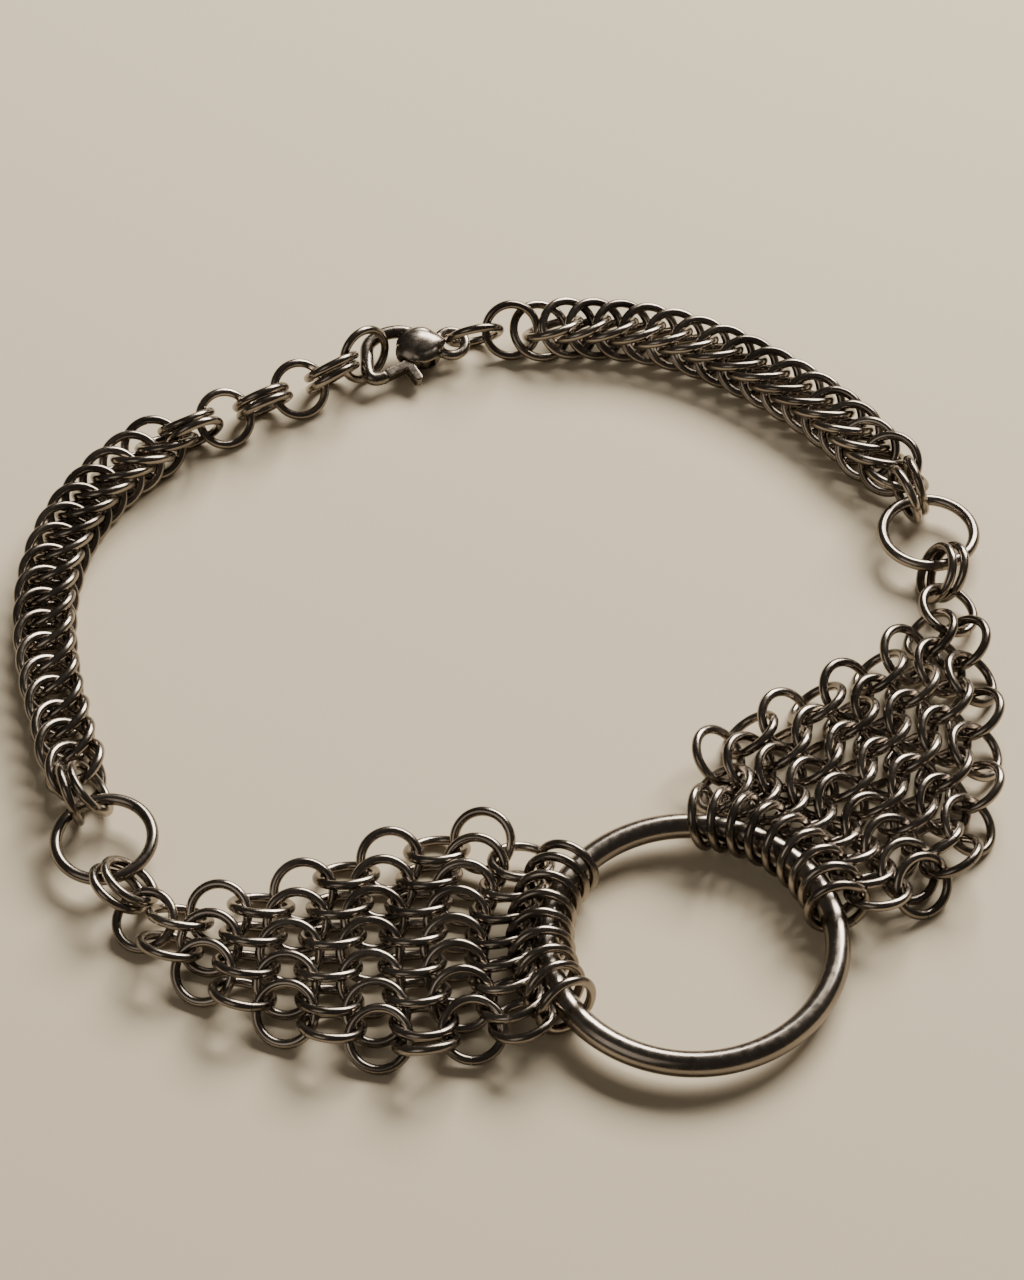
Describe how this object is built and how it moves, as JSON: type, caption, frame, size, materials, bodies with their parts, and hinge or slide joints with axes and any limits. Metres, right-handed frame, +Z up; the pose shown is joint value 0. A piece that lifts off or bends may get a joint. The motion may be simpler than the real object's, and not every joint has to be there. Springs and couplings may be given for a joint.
{
  "type": "necklace",
  "caption": "Chainmail necklace: a smooth centre ring between two triangular woven-ring panels, rope-like woven chains, and a ring extender with a lobster clasp.",
  "frame": {"origin": "on the floor, under the middle of the whole necklace as it lies", "axes": "+Z up from the floor; the necklace lies flat with its centre ring towards -Y and its clasp towards +Y; +X to the viewer's right"},
  "size_m": [0.1332, 0.1348, 0.0096],
  "materials": {
    "mail_rings": "polished, slightly darkened",
    "thick_rings": "polished, slightly darkened",
    "clasp_metal": "cast and polished"
  },
  "bodies": {
    "necklace": {"centre_ring": "thick_rings", "clasp_body": "clasp_metal", "clasp_link_1": "mail_rings", "clasp_link_2": "mail_rings", "extender_pair_1": "mail_rings", "extender_pair_2": "mail_rings", "extender_pair_3": "mail_rings", "extender_ring_1": "mail_rings", "extender_ring_2": "mail_rings", "extender_ring_3": "mail_rings", "left_chain": "mail_rings", "left_chain_pair": "mail_rings", "left_connector": "thick_rings", "left_panel": "mail_rings", "left_tip_pair": "mail_rings", "right_chain": "mail_rings", "right_chain_pair": "mail_rings", "right_connector": "thick_rings", "right_panel": "mail_rings", "right_tip_pair": "mail_rings"},
    "lever": {"clasp_lever": "clasp_metal"}
  },
  "joints": [
    {"name": "lever_hinge", "type": "hinge", "parent": "necklace", "child": "lever", "pos_m": [-0.01013, 0.0587, 0.00246], "axis": [0.1, -0.1894, 0.9768], "range_deg": [-18, 0], "stiffness_Nm_per_rad": 0.01, "springref_deg": 20.05}
  ]
}
